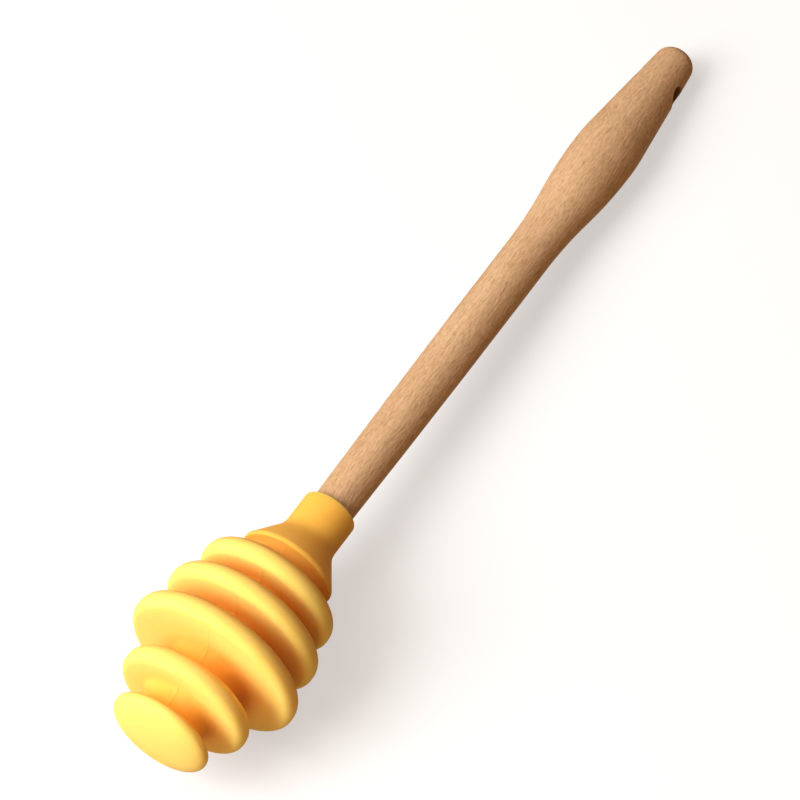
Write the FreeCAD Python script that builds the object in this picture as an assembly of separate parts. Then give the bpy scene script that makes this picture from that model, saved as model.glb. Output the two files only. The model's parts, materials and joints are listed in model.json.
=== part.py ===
import FreeCAD, Part
import math
import os

# Honey dipper: a turned wooden handle, and a moulded silicone head that pushes on to its tenon.
# Millimetres and degrees. Outlines run along the dipper's own axis: x is measured from the mouth of
# the head, positive up the handle and negative towards the tip, and y is the radius there.

# Handle; insets are measured down from its end
tenon_radius = 4.8
tenon_length = 54.8
tenon_nose_round = 1.2
handle_reach = 151.2
waist_inset = 70.0
waist_radius = 5.5
swell_inset = 36.0
swell_radius = 7.75
swell_fall_radius = 65.0
end_radius = 4.6
end_round_share = 0.7

# Hang hole, drilled level across the handle
hang_hole_radius = 2.5
hang_hole_inset = 11.1
hang_hole_edge_round = 0.5

# Socket and collar of the head
socket_clearance = 0.05
socket_end_gap = 1.0
socket_bottom_round = 1.0
mouth_round = 0.7
collar_radius = 6.3
collar_length = 9.3
collar_lip_round = 0.7

# Trumpet flare under the collar, ending in a thin flange
flare_round = 5.2
flange_place = 17.1
flange_radius = 11.1
flange_rim_thickness = 0.9
flange_rim_round = 0.4

# Ridges: each place is where the rim is widest. The core that they stand on tapers to the tip
core_upper_radius = 8.6
core_lower_radius = 7.2
groove_round_share = 0.47
ridge_upper_thickness = 3.0
ridge_lower_thickness = 2.0
ridge_upper_round = 2.8
ridge_lower_round = 1.8
ridge_draft = 2.0
ridge_1_place = 24.9
ridge_1_radius = 16.1
ridge_2_place = 34.0
ridge_2_radius = 18.3
ridge_3_place = 44.1
ridge_3_radius = 20.0
ridge_4_place = 54.8
ridge_4_radius = 15.1

# Domed tip
tip_place = 63.8
tip_radius = 11.4
tip_dome_height = 3.3
tip_rim_thickness = 1.5
tip_rim_round = 1.2

# Shared by every outline and cut
overrun = 5.0
shortest_edge = 0.001

waist_place = handle_reach - waist_inset
swell_place = handle_reach - swell_inset
socket_radius = tenon_radius + socket_clearance
socket_depth = tenon_length + socket_end_gap
widest_place = ridge_3_place
widest_radius = ridge_3_radius
ridges = (
    (ridge_1_place, ridge_1_radius),
    (ridge_2_place, ridge_2_radius),
    (ridge_3_place, ridge_3_radius),
    (ridge_4_place, ridge_4_radius),
)


def point(x, radius):
    return FreeCAD.Vector(x, radius, 0)


def rounded_edges(corners):
    # Straight edges from corner to corner, with a tangent arc of the corner's own round at each
    edges = []
    start = point(*corners[0][:2])
    for before, corner, after in zip(corners, corners[1:], corners[2:]):
        here = point(*corner[:2])
        back = (point(*before[:2]) - here).normalize()
        ahead = (point(*after[:2]) - here).normalize()
        half_angle = back.getAngle(ahead) / 2
        setback = corner[2] / math.tan(half_angle)
        inset = corner[2] / math.sin(half_angle) - corner[2]
        arc_start = here + back * setback
        arc_end = here + ahead * setback
        if start.distanceToPoint(arc_start) > shortest_edge:
            edges.append(Part.LineSegment(start, arc_start).toShape())
        if corner[2] > 0:
            middle = here + (back + ahead).normalize() * inset
            edges.append(Part.Arc(arc_start, middle, arc_end).toShape())
        start = arc_end
    edges.append(Part.LineSegment(start, point(*corners[-1][:2])).toShape())
    return edges


def turn(edges):
    # A solid of revolution about the dipper's axis
    face = Part.Face(Part.Wire(edges))
    return face.revolve(FreeCAD.Vector(0, 0, 0), FreeCAD.Vector(1, 0, 0), 360)


def level_arc(place, radius, bend, x_start, x_end):
    # An arc that is level at its place; a positive bend curves it away from the axis
    def on_arc(x):
        return point(x, radius + bend - math.copysign(math.sqrt(bend ** 2 - (x - place) ** 2), bend))
    return Part.Arc(on_arc(x_start), on_arc((x_start + x_end) / 2), on_arc(x_end)).toShape()


def shank_edge():
    # From the tenon's radius at the mouth the shank thickens gently until it is level at the waist
    shank = Part.BezierCurve()
    shank.setPoles([
        point(0, tenon_radius),
        point(waist_place / 2, waist_radius),
        point(waist_place, waist_radius),
    ])
    return shank.toShape()


def swell_edges():
    # Two equal arcs lead from the waist to the top of the grip's swell
    run = swell_place - waist_place
    rise = swell_radius - waist_radius
    bend = (run ** 2 + rise ** 2) / (4 * rise)
    middle = waist_place + run / 2
    return [
        level_arc(waist_place, waist_radius, bend, waist_place, middle),
        level_arc(swell_place, swell_radius, -bend, middle, swell_place),
    ]


def swell_fall():
    # Where the arc over the swell ends: there its tangent points at the end's sharp corner
    centre = point(swell_place, swell_radius - swell_fall_radius)
    to_end = point(handle_reach, end_radius) - centre
    angle = math.atan2(to_end.y, to_end.x) + math.acos(swell_fall_radius / to_end.Length)
    return centre + point(math.cos(angle), math.sin(angle)) * swell_fall_radius


def cut_hang_hole(handle):
    across = FreeCAD.Vector(0, 1, 0)
    depth = swell_radius + overrun
    middle = point(handle_reach - hang_hole_inset, 0)
    drill = Part.makeCylinder(hang_hole_radius, 2 * depth, middle - across * depth, across)
    drilled = handle.cut(drill)
    mouths = []
    for face in drilled.Faces:
        if is_drill_wall(face):
            mouths += [edge for edge in face.Edges if not isinstance(edge.Curve, Part.Line)]
    return drilled.makeFillet(hang_hole_edge_round, mouths).Solids[0]


def is_drill_wall(face):
    # The drilled wall is the one cylinder that stands across the handle, not along it
    surface = face.Surface
    return isinstance(surface, Part.Cylinder) and abs(surface.Axis.y) > abs(surface.Axis.x)


def make_handle():
    fall = swell_fall()
    nose = rounded_edges([
        (-tenon_length, 0, 0),
        (-tenon_length, tenon_radius, tenon_nose_round),
        (0, tenon_radius, 0),
    ])
    end = rounded_edges([
        (fall.x, fall.y, 0),
        (handle_reach, end_radius, end_round_share * end_radius),
        (handle_reach, 0, 0),
    ])
    over_swell = level_arc(swell_place, swell_radius, -swell_fall_radius, swell_place, fall.x)
    axis_edge = Part.LineSegment(point(handle_reach, 0), point(-tenon_length, 0)).toShape()
    outline = nose + [shank_edge()] + swell_edges() + [over_swell] + end + [axis_edge]
    return cut_hang_hole(turn(outline))


def core_radius_at(x):
    # The core's straight taper from the flange to the tip
    share = (-x - flange_place) / (tip_place - flange_place)
    return core_upper_radius + share * (core_lower_radius - core_upper_radius)


def groove_corners(upper, lower):
    # Drafted faces run down from two neighbouring rims to a floor that is rounded right across
    lean = math.tan(math.radians(ridge_draft))
    top = upper[0] - lean * (upper[1] - core_radius_at(upper[0]))
    bottom = lower[0] + lean * (lower[1] - core_radius_at(lower[0]))
    floor_round = groove_round_share * (top - bottom)
    return [
        (top, core_radius_at(top), floor_round),
        (bottom, core_radius_at(bottom), floor_round),
    ]


def make_head():
    flange_upper = -flange_place + flange_rim_thickness / 2
    corners = [
        (-socket_depth, 0, 0),
        (-socket_depth, socket_radius, socket_bottom_round),
        (0, socket_radius, mouth_round),
        (0, collar_radius, collar_lip_round),
        (-collar_length, collar_radius, flare_round),
        (flange_upper, flange_radius, flange_rim_round),
        (flange_upper - flange_rim_thickness, flange_radius, flange_rim_round),
    ]
    for place, radius in ridges:
        upper_edge = (-place + ridge_upper_thickness, radius, ridge_upper_round)
        corners += groove_corners(corners[-1], upper_edge)
        corners += [upper_edge, (-place - ridge_lower_thickness, radius, ridge_lower_round)]
    tip_edge = (-tip_place + tip_rim_thickness, tip_radius, tip_rim_round)
    corners += groove_corners(corners[-1], tip_edge)
    corners += [tip_edge, (-tip_place, tip_radius, 0)]
    return turn(rounded_edges(corners) + tip_edges())


def tip_edges():
    # A quarter of an ellipse from the rim to the tip, then back along the axis to the socket
    pole = point(-tip_place - tip_dome_height, 0)
    dome = Part.BezierCurve()
    dome.setPoles([point(-tip_place, tip_radius), point(pole.x, tip_radius), pole])
    dome.setWeight(2, math.cos(math.pi / 4))
    return [dome.toShape(), Part.LineSegment(pole, point(-socket_depth, 0)).toShape()]


def rest_tilt():
    # Slope of the common tangent under the widest ridge's upper round and the arc over the swell
    upper = -widest_place + ridge_upper_thickness
    draft = math.radians(ridge_draft)
    setback = ridge_upper_round * math.tan((math.pi / 2 - draft) / 2)
    ridge_centre = point(upper - setback, widest_radius - ridge_upper_round)
    swell_centre = point(swell_place, swell_radius - swell_fall_radius)
    span = ridge_centre - swell_centre
    return math.atan2(span.x, span.y) + math.acos((swell_fall_radius - ridge_upper_round) / span.Length)


def lay_down(shapes):
    # At rest the dipper lies on its widest ridge and its swell, centred over the origin
    for shape in shapes:
        shape.rotate(FreeCAD.Vector(0, 0, 0), FreeCAD.Vector(0, 1, 0), math.degrees(rest_tilt()))
    box = Part.makeCompound(shapes).optimalBoundingBox(False, False)
    shift = FreeCAD.Vector(-box.Center.x, -box.Center.y, -box.ZMin)
    for shape in shapes:
        shape.translate(shift)
    return shift


handle = make_handle()
head = make_head()
shift = lay_down([handle, head])

os.makedirs("parts", exist_ok=True)
handle.exportStep("parts/handle.step")
head.exportStep("parts/head.step")
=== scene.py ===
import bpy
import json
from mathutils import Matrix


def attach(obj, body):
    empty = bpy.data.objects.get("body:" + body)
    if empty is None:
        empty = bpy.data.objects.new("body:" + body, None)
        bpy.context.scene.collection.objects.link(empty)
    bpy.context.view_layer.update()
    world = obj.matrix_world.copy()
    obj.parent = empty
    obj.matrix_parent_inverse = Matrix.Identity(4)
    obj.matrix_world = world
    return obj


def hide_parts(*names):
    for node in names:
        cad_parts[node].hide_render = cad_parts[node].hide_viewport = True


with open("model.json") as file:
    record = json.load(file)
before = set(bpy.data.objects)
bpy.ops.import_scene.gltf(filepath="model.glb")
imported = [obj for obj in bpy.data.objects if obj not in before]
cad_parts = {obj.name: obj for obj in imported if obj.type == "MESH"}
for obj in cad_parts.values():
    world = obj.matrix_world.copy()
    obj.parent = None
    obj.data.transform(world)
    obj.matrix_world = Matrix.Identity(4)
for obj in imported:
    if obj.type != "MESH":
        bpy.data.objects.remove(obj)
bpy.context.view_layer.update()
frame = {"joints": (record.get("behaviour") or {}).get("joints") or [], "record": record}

import json
import math
import bmesh
import bpy
from mathutils import Matrix, Vector, noise

scene = bpy.context.scene
scene.view_settings.view_transform = "Standard"
mm = 0.001
tiny = 1e-6   # mm, shorter than any real edge

# The dipper lies at a slope, so its pieces are built straight and then laid on the CAD's axis:
# x runs from the mouth of the head up the handle, y goes across through the hang hole
holePlace = 140.1   # mm from the mouth up to the hang hole
holeAt = Vector(frame["record"]["mounts"][0]["pos_m"])
tipWay = Vector(frame["joints"][0]["axis"]).normalized()
mouthAt = holeAt + tipWay * holePlace * mm
across = Vector((0, 1, 0))
dipperFrame = Matrix((-tipWay, across, across.cross(tipWay))).transposed().to_4x4()
dipperFrame.translation = mouthAt


def roundedLine(corners, stepsPerRight, fewestSteps=3):
    # corners are (x, radius, round): every corner becomes a tangent arc of its own round
    points = [Vector(corners[0][:2])]
    for before, corner, after in zip(corners, corners[1:], corners[2:]):
        here = Vector(corner[:2])
        back = (Vector(before[:2]) - here).normalized()
        ahead = (Vector(after[:2]) - here).normalized()
        half = back.angle(ahead) / 2
        sweep = math.pi - 2 * half
        centre = here + (back + ahead).normalized() * (corner[2] / math.sin(half))
        spoke = here + back * (corner[2] / math.tan(half)) - centre
        turn = math.copysign(sweep, ahead.x * back.y - ahead.y * back.x)
        steps = math.ceil(sweep / (math.pi / 2) * stepsPerRight)
        count = max(fewestSteps, steps) if corner[2] else 0   # a sharp corner is one point
        for i in range(count + 1):
            angle = turn * i / max(count, 1)
            points.append(centre + Matrix.Rotation(angle, 2) @ spoke)
    points.append(Vector(corners[-1][:2]))
    return points


def evenLine(points, longest):
    # splits the long straight runs, so that no face is much longer than the rest
    line = [points[0]]
    for a, b in zip(points, points[1:]):
        length = (b - a).length
        if length > tiny:
            count = math.ceil(length / longest)
            line += [a.lerp(b, i / count) for i in range(1, count + 1)]
    return line


def pole(form, x, columns):
    # a ring that has shrunk to one point on the axis
    return [form.verts.new(Vector((x, 0, 0)) * mm)] * columns


def bridge(form, outer, inner, leftOut=()):
    # a band of faces between two rings; beside a pole they are triangles
    for j in range(len(outer)):
        if j not in leftOut:
            k = (j + 1) % len(outer)
            corners = [outer[j], outer[k], inner[k], inner[j]]
            form.faces.new(list(dict.fromkeys(corners)))


def finishPiece(name, form, material):
    # closes the mesh, turns its faces outwards and lays the piece on the dipper's axis
    bmesh.ops.remove_doubles(form, verts=form.verts, dist=tiny * mm)
    bmesh.ops.recalc_face_normals(form, faces=form.faces)
    for face in form.faces:
        face.smooth = True
    form.transform(dipperFrame)
    mesh = bpy.data.meshes.new(name)
    form.to_mesh(mesh)
    form.free()
    mesh.materials.append(material)
    piece = bpy.data.objects.new(name, mesh)
    scene.collection.objects.link(piece)
    print(name, "is made:", len(mesh.polygons), "faces")
    return piece


def newMaterial(name):
    material = bpy.data.materials.new(name)
    material.use_nodes = True
    tree = material.node_tree
    return material, tree, tree.nodes["Principled BSDF"]


def setInputs(node, values):
    for name, value in values.items():
        node.inputs[name].default_value = value
    return node


def straightPlace(tree):
    # texture coordinates along the dipper's own axis, not along the slope that it lies at
    place = tree.nodes.new("ShaderNodeTexCoord")
    straight = tree.nodes.new("ShaderNodeMapping")
    upright = dipperFrame.inverted()
    setInputs(straight, {"Location": upright.translation, "Rotation": upright.to_euler()})
    tree.links.new(place.outputs["Object"], straight.inputs["Vector"])
    return straight.outputs["Vector"]


def stretchedNoise(tree, place, along, around, detail):
    # along and around are cells to the metre
    stretch = setInputs(tree.nodes.new("ShaderNodeMapping"), {"Scale": (along, around, around)})
    texture = setInputs(tree.nodes.new("ShaderNodeTexNoise"), {"Scale": 1, "Detail": detail})
    tree.links.new(place, stretch.inputs["Vector"])
    tree.links.new(stretch.outputs["Vector"], texture.inputs["Vector"])
    return texture.outputs["Fac"]


def meshValue(tree, name):
    # a value that the mesh carries at its points
    node = tree.nodes.new("ShaderNodeAttribute")
    node.attribute_name = name
    return node.outputs["Fac"]


def addShare(tree, total, share, part):
    node = tree.nodes.new("ShaderNodeMath")
    node.operation = "MULTIPLY_ADD"
    node.inputs[1].default_value = share
    tree.links.new(part, node.inputs[0])
    tree.links.new(total, node.inputs[2])
    return node.outputs[0]


def inRange(tree, value, taken, given):
    # spreads the range that is taken over the range that is given
    node = tree.nodes.new("ShaderNodeMapRange")
    setInputs(node, {"From Min": taken[0], "From Max": taken[1]})
    setInputs(node, {"To Min": given[0], "To Max": given[1]})
    tree.links.new(value, node.inputs["Value"])
    return node.outputs[0]


def rampOf(tree, factor, stops):
    node = tree.nodes.new("ShaderNodeValToRGB")
    elements = node.color_ramp.elements
    while len(elements) < len(stops):
        elements.new(0.5)
    for element, (place, colour) in zip(elements, stops):
        element.position = place
        element.color = (*colour, 1)
    tree.links.new(factor, node.inputs["Fac"])
    return node.outputs["Color"]


def tinted(tree, factor, base, tint):
    # a Mix node takes its two colours at sockets 6 and 7, and gives one at 2
    node = tree.nodes.new("ShaderNodeMix")
    node.data_type = "RGBA"
    node.inputs[7].default_value = (*tint, 1)
    tree.links.new(factor, node.inputs[0])
    tree.links.new(base, node.inputs[6])
    return node.outputs[2]


def reliefOn(tree, normal, height, strength, depth):
    # bumps on top of the normal's own, sunk in where the strength is negative
    bump = setInputs(tree.nodes.new("ShaderNodeBump"), {"Strength": abs(strength), "Distance": depth})
    bump.invert = strength < 0
    tree.links.new(height, bump.inputs["Height"])
    if normal:
        tree.links.new(normal, bump.inputs["Normal"])
    return bump.outputs["Normal"]


# Handle: turned beech, millimetres. Insets are measured down from its end
handle = {
    "tenonRadius": 4.8, "tenonLength": 54.8, "noseRound": 1.2,
    "reach": 151.2, "waistInset": 70, "waistRadius": 5.5,
    "swellInset": 36, "swellRadius": 7.75, "fallRadius": 65,
    "endRadius": 4.6, "endRound": 3.22,
    "holeRadius": 2.5, "holeRound": 0.5,
    "columns": 128, "longestFace": 1.1,
    "noseSteps": 8, "shankSteps": 40, "swellSteps": 32, "fallSteps": 8, "endSteps": 9,
    "patchLength": 4.9, "patchWidth": 3.92,   # half of the patch round a mouth that has its own mesh
    "patchRings": (0.3, 0.55, 0.75, 0.9, 1),   # shares of the way from the patch's edge to the hole
    "easeSteps": 6, "wallSteps": 8,
    "sanding": 0.04, "sandedFrom": 2, "sandingSeed": 4.7,   # sanding: the most that the hand takes off
    "dentPitch": 0.08, "dentShare": 0.38,   # the two shares are 0.5 together
    "ringPitch": 1.3, "ringShare": 0.12, "ringWaver": 0.4,
}


def handleLine(h):
    waist = h["reach"] - h["waistInset"]
    swell = h["reach"] - h["swellInset"]
    line = roundedLine([
        (-h["tenonLength"], 0, 0),
        (-h["tenonLength"], h["tenonRadius"], h["noseRound"]),
        (0, h["tenonRadius"], 0),
    ], h["noseSteps"])
    for i in range(1, h["shankSteps"] + 1):   # shank: level where it reaches the waist
        left = 1 - i / h["shankSteps"]
        slim = (h["waistRadius"] - h["tenonRadius"]) * left ** 2
        line.append(Vector((waist * i / h["shankSteps"], h["waistRadius"] - slim)))
    run = swell - waist
    rise = h["swellRadius"] - h["waistRadius"]
    bend = (run ** 2 + rise ** 2) / (4 * rise)
    for i in range(1, h["swellSteps"] + 1):   # two equal arcs, out of the waist and on to the swell
        x = run * i / h["swellSteps"]
        sag = bend - math.sqrt(bend ** 2 - min(x, run - x) ** 2)
        radius = h["waistRadius"] + sag if x < run / 2 else h["swellRadius"] - sag
        line.append(Vector((waist + x, radius)))
    centre = Vector((swell, h["swellRadius"] - h["fallRadius"]))
    toEnd = Vector((h["reach"], h["endRadius"])) - centre
    fall = math.atan2(toEnd.x, toEnd.y) - math.acos(h["fallRadius"] / toEnd.length)
    spoke = Vector((0, h["fallRadius"]))
    for i in range(1, h["fallSteps"] + 1):   # over the swell until the taper points at the end
        line.append(centre + Matrix.Rotation(-fall * i / h["fallSteps"], 2) @ spoke)
    end = roundedLine([
        line[-1],
        (h["reach"], h["endRadius"], h["endRound"]),
        (h["reach"], 0, 0),
    ], h["endSteps"])
    return evenLine(line + end[1:], h["longestFace"])


def radiusAt(line, x):
    for a, b in zip(line, line[1:]):
        if a.x <= x < b.x:
            return a.y + (b.y - a.y) * (x - a.x) / (b.x - a.x)
    return line[-1].y


def ringAt(line, x):
    return min(range(len(line)), key=lambda i: abs(line[i].x - x))


def onWood(h, x, radius, angle):
    # turned surface, less what the sanding took: wide soft dents and faint rings round the grip
    side, up = math.cos(angle), math.sin(angle)
    dents = noise.noise(Vector((x * h["dentPitch"], side, up + h["sandingSeed"])))
    faint = noise.noise(Vector((x * h["ringPitch"], side * h["ringWaver"], h["sandingSeed"])))
    share = 0.5 + h["dentShare"] * dents + h["ringShare"] * faint   # between 0 and 1
    taken = h["sanding"] * share if x > h["sandedFrom"] else 0
    sanded = max(radius - taken, 0)
    return Vector((x, sanded * side, sanded * up)) * mm


def makeMouth(form, h, line, rings, patch, side):
    # rings close in from the patch's edge to the hole's, and then curve over it into the bore
    first, last, span = patch
    middle = 0 if side == 1 else h["columns"] // 2
    # the walk round the patch is in step on both sides, so that the two mouths' rings face each other
    walk = [(first, -span + n) for n in range(2 * span)]
    walk += [(first + n, span) for n in range(last - first)]
    walk += [(last, span - n) for n in range(2 * span)]
    walk += [(last - n, -span) for n in range(last - first)]
    ring = [rings[i][(middle + side * j) % h["columns"]] for i, j in walk]
    flats = [Vector((vert.co.x / mm - holePlace, vert.co.z / mm)) for vert in ring]
    ways = [flat.normalized() for flat in flats]
    edge = h["holeRadius"] + h["holeRound"]

    def surface(flat):
        radius = radiusAt(line, holePlace + flat.x)
        angle = math.atan2(flat.y, side * math.sqrt(radius ** 2 - flat.y ** 2))
        return onWood(h, holePlace + flat.x, radius, angle)

    for share in h["patchRings"]:
        places = [surface(flat.lerp(way * edge, share)) for flat, way in zip(flats, ways)]
        inner = [form.verts.new(place) for place in places]
        bridge(form, ring, inner)
        ring = inner
    drilled = form.verts.layers.float["drilled"]
    for step in range(1, h["easeSteps"] + 1):
        t = step / h["easeSteps"]
        inner = []
        for way in ways:
            start = surface(way * edge)
            corner = surface(way * h["holeRadius"])
            end = corner - across * side * h["holeRound"] * mm
            vert = form.verts.new(start * (1 - t) ** 2 + corner * (2 * t * (1 - t)) + end * t ** 2)
            # the painted shade of the hole grows over its round edge into the bore
            vert[drilled] = t
            inner.append(vert)
        bridge(form, ring, inner)
        ring = inner
    return ring


def drillWall(form, h, near, far):
    drilled = form.verts.layers.float["drilled"]
    ring = near
    for step in range(1, h["wallSteps"]):
        inner = [form.verts.new(a.co.lerp(b.co, step / h["wallSteps"])) for a, b in zip(near, far)]
        for vert in inner:
            vert[drilled] = 1
        bridge(form, ring, inner)
        ring = inner
    bridge(form, ring, far)


def makeHandle(h, material):
    form = bmesh.new()
    form.verts.layers.float.new("drilled")
    line = handleLine(h)
    columns = h["columns"]
    angles = [2 * math.pi * j / columns for j in range(columns)]
    rings = []
    for p in line:
        if p.y < tiny:
            rings.append(pole(form, p.x, columns))
        else:
            rings.append([form.verts.new(onWood(h, p.x, p.y, angle)) for angle in angles])
    # the hole's mouths are at columns 0 and columns / 2, where a patch of faces is left out for them
    first = ringAt(line, holePlace - h["patchLength"])
    last = ringAt(line, holePlace + h["patchLength"])
    patchTurn = math.asin(h["patchWidth"] / radiusAt(line, holePlace))
    span = round(patchTurn / (2 * math.pi) * columns)
    mouths = {(middle + n) % columns for middle in (0, columns // 2) for n in range(-span, span)}
    for i in range(len(rings) - 1):
        bridge(form, rings[i], rings[i + 1], mouths if first <= i < last else ())
    near, far = [makeMouth(form, h, line, rings, (first, last, span), side) for side in (1, -1)]
    drillWall(form, h, near, far)
    piece = finishPiece("beechHandle", form, material)
    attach(piece, "handle")
    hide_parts("handle")


beech = {
    "pale": (0.70, 0.475, 0.275), "mid": (0.585, 0.372, 0.198), "deep": (0.45, 0.262, 0.125),
    "blush": (0.68, 0.39, 0.25), "blushRange": (0.45, 0.7), "blushShare": 0.35,
    "fleck": (0.33, 0.175, 0.076), "fleckRange": (0.52, 0.68), "fleckShare": 0.5,
    "holeShadeAndEndGrain": (0.15, 0.08, 0.037),   # drilled wall: darker end grain, and painted shade down the hole
    "roughness": (0.58, 0.78), "shine": 0.1,
    "grain": {   # cells to the metre along the handle and round it, and detail
        "clouds": (34, 120, 2),      # wide soft change of tone
        "streaks": (40, 1100, 3),    # long fibres
        "mottle": (620, 2500, 2),    # short cells, the mark of beech cut on the quarter
        "flecks": (430, 2900, 2),    # dark rays
        "pores": (1900, 5200, 1),
        "warm": (240, 520, 2),       # rosy patches
    },
    "toneShares": {"clouds": 0.9, "streaks": 0.7, "mottle": 1.4},   # added to the pores
    "toneRange": (1.5, 2.5),
    "relief": {   # strength, and depth in metres
        "streaks": (0.35, 0.0002), "mottle": (0.4, 0.00025), "flecks": (-0.55, 0.0002),
    },
}


def makeBeech(look):
    material, tree, shader = newMaterial("oiledBeech")
    place = straightPlace(tree)
    grain = {name: stretchedNoise(tree, place, *cells) for name, cells in look["grain"].items()}
    tone = grain["pores"]
    for name, share in look["toneShares"].items():
        tone = addShare(tree, tone, share, grain[name])
    evened = inRange(tree, tone, look["toneRange"], (0, 1))
    colour = rampOf(tree, evened, [(0, look["deep"]), (0.5, look["mid"]), (1, look["pale"])])
    rosy = inRange(tree, grain["warm"], look["blushRange"], (0, look["blushShare"]))
    colour = tinted(tree, rosy, colour, look["blush"])
    flecked = inRange(tree, grain["flecks"], look["fleckRange"], (0, look["fleckShare"]))
    colour = tinted(tree, flecked, colour, look["fleck"])
    # the hole's wall and round edge are painted dark: partly end grain, partly painted shade where light
    # does not reach
    colour = tinted(tree, meshValue(tree, "drilled"), colour, look["holeShadeAndEndGrain"])
    tree.links.new(colour, shader.inputs["Base Color"])
    rough = inRange(tree, grain["streaks"], (0, 1), look["roughness"])
    tree.links.new(rough, shader.inputs["Roughness"])
    setInputs(shader, {"Specular IOR Level": look["shine"]})
    normal = None
    for name, (strength, depth) in look["relief"].items():
        normal = reliefOn(tree, normal, grain[name], strength, depth)
    tree.links.new(normal, shader.inputs["Normal"])
    return material


makeHandle(handle, makeBeech(beech))

# Head: one silicone moulding, millimetres. Places are measured from the mouth towards the tip
head = {
    "socketRadius": 4.85, "socketDepth": 55.8, "socketRound": 1.0, "mouthRound": 0.7,
    "collarRadius": 6.3, "collarLength": 9.3, "lipRound": 0.7, "flareRound": 5.2,
    "flangePlace": 17.1, "flangeRadius": 11.1, "flangeThickness": 0.9, "flangeRound": 0.4,
    "coreUpper": 8.6, "coreLower": 7.2, "grooveShare": 0.47, "draft": 2,
    "ridges": [(24.9, 16.1), (34.0, 18.3), (44.1, 20.0), (54.8, 15.1)],
    "upperThickness": 3.0, "lowerThickness": 2.0, "upperRound": 2.8, "lowerRound": 1.8,
    "tipPlace": 63.8, "tipRadius": 11.4, "tipThickness": 1.5, "tipRound": 1.2, "domeHeight": 3.3,
    "columns": 160, "longestFace": 1.0, "arcSteps": 8, "domeSteps": 20,
    "seamAngle": 90, "seamHeight": 0.13, "seamWidth": 0.16,   # parting line, left in the grooves
    "seamColumns": 8, "seamCrowding": 1.5,
    # how much painted shade turns the colour orange: on the lip, on the collar, at the flange and behind
    # the ridges
    "lipShade": 0.05, "sleeveShade": 0.95, "flareShade": 0.76, "backShade": 0.8,
    "lipHighlightReach": 0.63,      # how far down the lip keeps its painted highlight
    "flareRise": 2.375,   # how soon the flare takes as much painted shade as the collar
    "grooveFall": 1.7,    # how late a groove takes its painted shade on the way down
}


def coreAt(h, x):
    # radius of the tapered core that the ridges stand on
    share = (-x - h["flangePlace"]) / (h["tipPlace"] - h["flangePlace"])
    return h["coreUpper"] + share * (h["coreLower"] - h["coreUpper"])


def grooveCorners(h, upper, lower):
    # drafted faces run down from two rims to a floor that is rounded right across
    lean = math.tan(math.radians(h["draft"]))
    top = upper[0] - lean * (upper[1] - coreAt(h, upper[0]))
    bottom = lower[0] + lean * (lower[1] - coreAt(h, lower[0]))
    floorRound = h["grooveShare"] * (top - bottom)
    return [(top, coreAt(h, top), floorRound), (bottom, coreAt(h, bottom), floorRound)]


def headLine(h):
    flange = -h["flangePlace"] + h["flangeThickness"] / 2
    corners = [
        (-h["socketDepth"], 0, 0),
        (-h["socketDepth"], h["socketRadius"], h["socketRound"]),
        (0, h["socketRadius"], h["mouthRound"]),
        (0, h["collarRadius"], h["lipRound"]),
        (-h["collarLength"], h["collarRadius"], h["flareRound"]),
        (flange, h["flangeRadius"], h["flangeRound"]),
        (flange - h["flangeThickness"], h["flangeRadius"], h["flangeRound"]),
    ]
    for place, radius in h["ridges"]:
        rim = (-place + h["upperThickness"], radius, h["upperRound"])
        corners += grooveCorners(h, corners[-1], rim)
        corners += [rim, (-place - h["lowerThickness"], radius, h["lowerRound"])]
    rim = (-h["tipPlace"] + h["tipThickness"], h["tipRadius"], h["tipRound"])
    corners += grooveCorners(h, corners[-1], rim)
    corners += [rim, (-h["tipPlace"], h["tipRadius"], 0)]
    line = evenLine(roundedLine(corners, h["arcSteps"]), h["longestFace"])
    for i in range(1, h["domeSteps"] + 1):   # domed tip
        angle = math.pi / 2 * i / h["domeSteps"]
        x = -h["tipPlace"] - h["domeHeight"] * math.sin(angle)
        line.append(Vector((x, h["tipRadius"] * math.cos(angle))))
    return line


def depthAt(h, p):
    # 0 on the rims and on all that is not a groove, 1 on the floor of a groove
    rims = [(h["flangePlace"], h["flangeRadius"])] + h["ridges"] + [(h["tipPlace"], h["tipRadius"])]
    for (a, ra), (b, rb) in zip(rims, rims[1:]):
        if a <= -p.x <= b and p.y > h["collarRadius"]:
            edge = ra + (rb - ra) * (-p.x - a) / (b - a)
            return min(max((edge - p.y) / (edge - coreAt(h, p.x)), 0), 1)
    return 0


def paintedShadingAt(h, p, depth, outwards):
    # painted shade, orange in place of shade and of light bounced and carried through the rubber: on a
    # groove's floor and on the side turned to the handle;
    # the thin sleeve over the wood and its flare are painted as orange, and its lip is left pale as a
    # painted highlight
    groove = max(depth ** h["grooveFall"], h["backShade"] * outwards.x)
    if p.x > -h["lipHighlightReach"]:
        return h["lipShade"]
    if p.x > -h["flangePlace"] - h["flangeThickness"]:
        sleeve = (h["flangeRadius"] - p.y) / (h["flangeRadius"] - h["collarRadius"])
        flare = min(max(h["flareRise"] * sleeve, h["flareShade"]), h["sleeveShade"])
        return max(flare, groove)
    return groove


def headAngles(h):
    # the columns stand closer together at the two sides where the mould parts
    step = 2 * math.pi / h["columns"]
    angles = [step * j for j in range(h["columns"])]
    for n in range(1, h["seamColumns"]):
        near = step * (n / h["seamColumns"]) ** h["seamCrowding"]
        angles += [near, 2 * math.pi - near, math.pi + near, math.pi - near]
    return sorted(angles)


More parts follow.
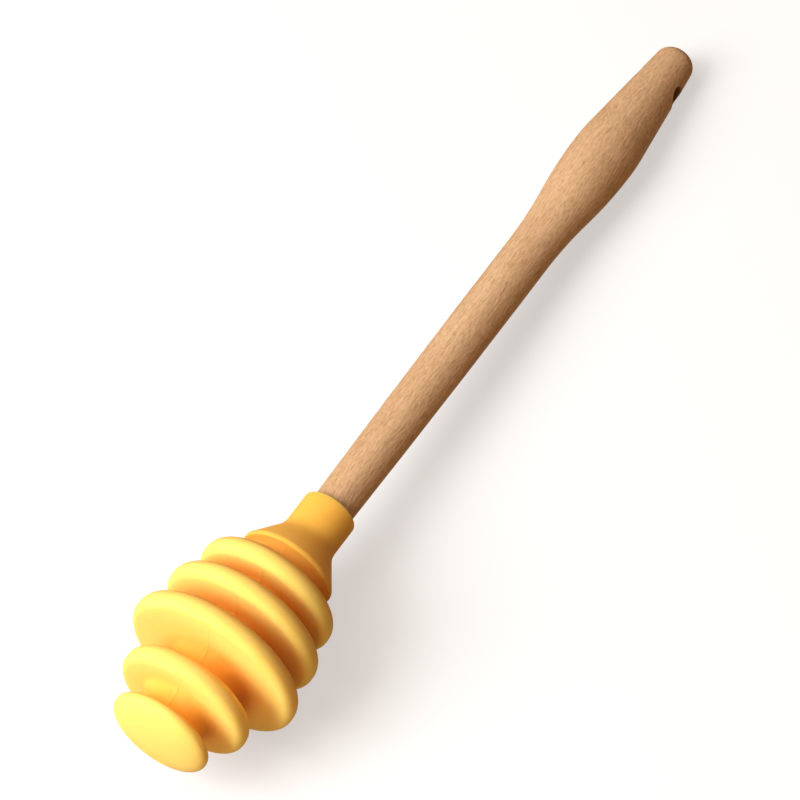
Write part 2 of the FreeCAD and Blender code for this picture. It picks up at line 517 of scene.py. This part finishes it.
def makeHead(h, material):
    form = bmesh.new()
    # this layer carries the painted shade: 0 keeps the silicone's own yellow, 1 paints the orange of shade
    warm = form.verts.layers.float.new("paintedShading")
    line = headLine(h)
    angles = headAngles(h)
    seam = math.radians(h["seamAngle"])
    rings = []
    for behind, p, ahead in zip(line[:1] + line, line, line[1:] + line[-1:]):
        if p.y < tiny:
            rings.append(pole(form, p.x, len(angles)))
            continue
        along = (ahead - behind).normalized()
        outwards = Vector((along.y, -along.x))
        depth = depthAt(h, p)
        paintedShading = paintedShadingAt(h, p, depth, outwards)
        ring = []
        for angle in angles:
            off = p.y * math.sin(angle) / h["seamWidth"]
            raised = p + outwards * h["seamHeight"] * math.sqrt(depth) * math.exp(-off ** 2)
            turned = Vector((math.cos(angle + seam), math.sin(angle + seam))) * raised.y
            vert = form.verts.new(Vector((raised.x, turned.x, turned.y)) * mm)
            vert[warm] = paintedShading
            ring.append(vert)
        rings.append(ring)
    for upper, lower in zip(rings, rings[1:]):
        bridge(form, upper, lower)
    piece = finishPiece("siliconeHead", form, material)
    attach(piece, "head")
    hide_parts("head")


silicone = {
    # outer is the silicone's own yellow, deep the orange of its painted shade
    "outer": (1.0, 0.69, 0.158), "deep": (1.0, 0.47, 0.058), "paintedShadingRange": (0.04, 1),
    "mottle": (140, 140, 3), "mottleShare": 0.16,
    "roughness": (0.74, 0.88), "shine": 0.75, "ior": 1.41,
    "scatter": (1.0, 0.72, 0.32), "scatterScale": 0.003, "scatterShare": 0.7,
    "skin": (2600, 2600, 2), "skinRelief": (0.12, 0.00008),   # strength, and depth in metres
}


def makeSilicone(look):
    material, tree, shader = newMaterial("yellowSilicone")
    place = straightPlace(tree)
    mottle = stretchedNoise(tree, place, *look["mottle"])
    # painted shade and bounced light: the grooves, the sides turned to the handle, the flare and the
    # collar come out more orange; and the batch is never quite even
    paintedShading = addShare(tree, meshValue(tree, "paintedShading"), look["mottleShare"], mottle)
    least, most = look["paintedShadingRange"]
    colour = rampOf(tree, paintedShading, [(least, look["outer"]), (most, look["deep"])])
    tree.links.new(colour, shader.inputs["Base Color"])
    rough = inRange(tree, mottle, (0, 1), look["roughness"])
    tree.links.new(rough, shader.inputs["Roughness"])
    setInputs(shader, {
        "Subsurface Weight": look["scatterShare"],
        "Subsurface Radius": look["scatter"],
        "Subsurface Scale": look["scatterScale"],
        "IOR": look["ior"],
        "Specular IOR Level": look["shine"],
    })
    skin = stretchedNoise(tree, place, *look["skin"])
    tree.links.new(reliefOn(tree, None, skin, *look["skinRelief"]), shader.inputs["Normal"])
    return material


makeHead(head, makeSilicone(silicone))

# Camera where the photograph was taken from, degrees and metres, with the lens in millimetres
camera = {
    "turn": -57.543, "rise": 60.299, "distance": 0.7, "lens": 144.18,
    "upHandle": 0.03177, "right": -0.0022, "up": 0.001685,   # from the mouth to what it is aimed at
}


def makeCamera(c):
    turn = math.radians(c["turn"])
    rise = math.radians(c["rise"])
    back = Vector((math.cos(rise) * math.sin(turn), -math.cos(rise) * math.cos(turn), math.sin(rise)))
    right = Vector((math.cos(turn), math.sin(turn), 0))
    aim = mouthAt - tipWay * c["upHandle"] + right * c["right"] + back.cross(right) * c["up"]
    eye = bpy.data.objects.new("photoCamera", bpy.data.cameras.new("photoCamera"))
    scene.collection.objects.link(eye)
    eye.data.lens = c["lens"]
    eye.location = aim + back * c["distance"]
    eye.rotation_euler = back.to_track_quat("Z", "Y").to_euler()
    scene.camera = eye
    return back


# Studio: a large lamp at the tip's end and to the left, a weaker one nearer the camera, a faint warm one
# low in front of the tip, and warm light all round. A lamp's way says how far it stands towards the tip,
# to the left of the dipper and to the camera
studio = {
    "lamps": [
        {"name": "keyLamp", "way": (0.66, 0.58, 0.44), "size": 0.85, "power": 18.8, "colour": (1, 1, 1)},
        {"name": "fillLamp", "way": (0.3, 0.62, 0.72), "size": 0.8, "power": 6.3, "colour": (1, 1, 1)},
        {"name": "lowLamp", "way": (0.9, -0.4, 0.15), "size": 0.5, "power": 3.5, "colour": (1, 0.7, 0.42)},
    ],
    "lampDistance": 1.2, "around": (1.0, 0.54, 0.22), "aroundStrength": 0.228,
    "floor": (0.93, 0.925, 0.915), "floorShade": (0.916, 0.911, 0.901), "floorRange": (0.3, 0.7),
    "floorReach": 3, "floorClouds": 3, "floorRoughness": 0.9, "floorShine": 0.1,
    "floorGlow": 0.55, "floorBounce": (0.2, 0.12, 0.055),
}


def seenDirectly(tree):
    # 1 for what the camera sees, also in gloss and through clear things, and 0 for light on the dipper
    path = tree.nodes.new("ShaderNodeLightPath")
    total = path.outputs["Is Camera Ray"]
    for name in ("Is Glossy Ray", "Is Transmission Ray"):
        node = tree.nodes.new("ShaderNodeMath")
        node.operation = "MAXIMUM"
        tree.links.new(total, node.inputs[0])
        tree.links.new(path.outputs[name], node.inputs[1])
        total = node.outputs[0]
    return total


def mixShaders(tree, factor, first, second):
    node = tree.nodes.new("ShaderNodeMixShader")
    if isinstance(factor, float):
        node.inputs[0].default_value = factor
    else:
        tree.links.new(factor, node.inputs[0])
    tree.links.new(first, node.inputs[1])
    tree.links.new(second, node.inputs[2])
    return node.outputs[0]


def makeFloor(s):
    reach = s["floorReach"]
    corners = [(-reach, -reach, 0), (reach, -reach, 0), (reach, reach, 0), (-reach, reach, 0)]
    mesh = bpy.data.meshes.new("paleFloor")
    mesh.from_pydata(corners, [], [(0, 1, 2, 3)])
    floor = bpy.data.objects.new("paleFloor", mesh)
    scene.collection.objects.link(floor)
    material, tree, shader = newMaterial("paleFloor")
    mesh.materials.append(material)
    cloud = setInputs(tree.nodes.new("ShaderNodeTexNoise"), {"Scale": s["floorClouds"]})
    low, high = s["floorRange"]
    tone = rampOf(tree, cloud.outputs["Fac"], [(low, s["floorShade"]), (high, s["floor"])])
    tree.links.new(tone, shader.inputs["Base Color"])
    setInputs(shader, {"Roughness": s["floorRoughness"], "Specular IOR Level": s["floorShine"]})
    glow = tree.nodes.new("ShaderNodeEmission")
    bounce = setInputs(tree.nodes.new("ShaderNodeBsdfDiffuse"), {"Color": (*s["floorBounce"], 1)})
    seen = mixShaders(tree, s["floorGlow"], shader.outputs[0], glow.outputs[0])
    both = mixShaders(tree, seenDirectly(tree), bounce.outputs[0], seen)
    tree.links.new(both, tree.nodes["Material Output"].inputs["Surface"])


def makeLight(s, back):
    facing = (back - tipWay * back.dot(tipWay)).normalized()
    left = tipWay.cross(facing)
    for lamp in s["lamps"]:
        toTip, toLeft, toCamera = lamp["way"]
        way = (tipWay * toTip + left * toLeft + facing * toCamera).normalized()
        light = bpy.data.lights.new(lamp["name"], "AREA")
        light.shape = "DISK"
        light.size = lamp["size"]
        light.energy = lamp["power"]
        light.color = lamp["colour"]
        holder = bpy.data.objects.new(lamp["name"], light)
        scene.collection.objects.link(holder)
        holder.location = mouthAt + way * s["lampDistance"]
        holder.rotation_euler = way.to_track_quat("Z", "Y").to_euler()
    scene.world = bpy.data.worlds.new("studio")
    scene.world.use_nodes = True
    tree = scene.world.node_tree
    around = tree.nodes["Background"]
    setInputs(around, {"Color": (*s["around"], 1), "Strength": s["aroundStrength"]})
    white = setInputs(tree.nodes.new("ShaderNodeBackground"), {"Color": (1, 1, 1, 1)})
    both = mixShaders(tree, seenDirectly(tree), around.outputs[0], white.outputs[0])
    tree.links.new(both, tree.nodes["World Output"].inputs["Surface"])


makeFloor(studio)
makeLight(studio, makeCamera(camera))
print("floor, light and camera are set")
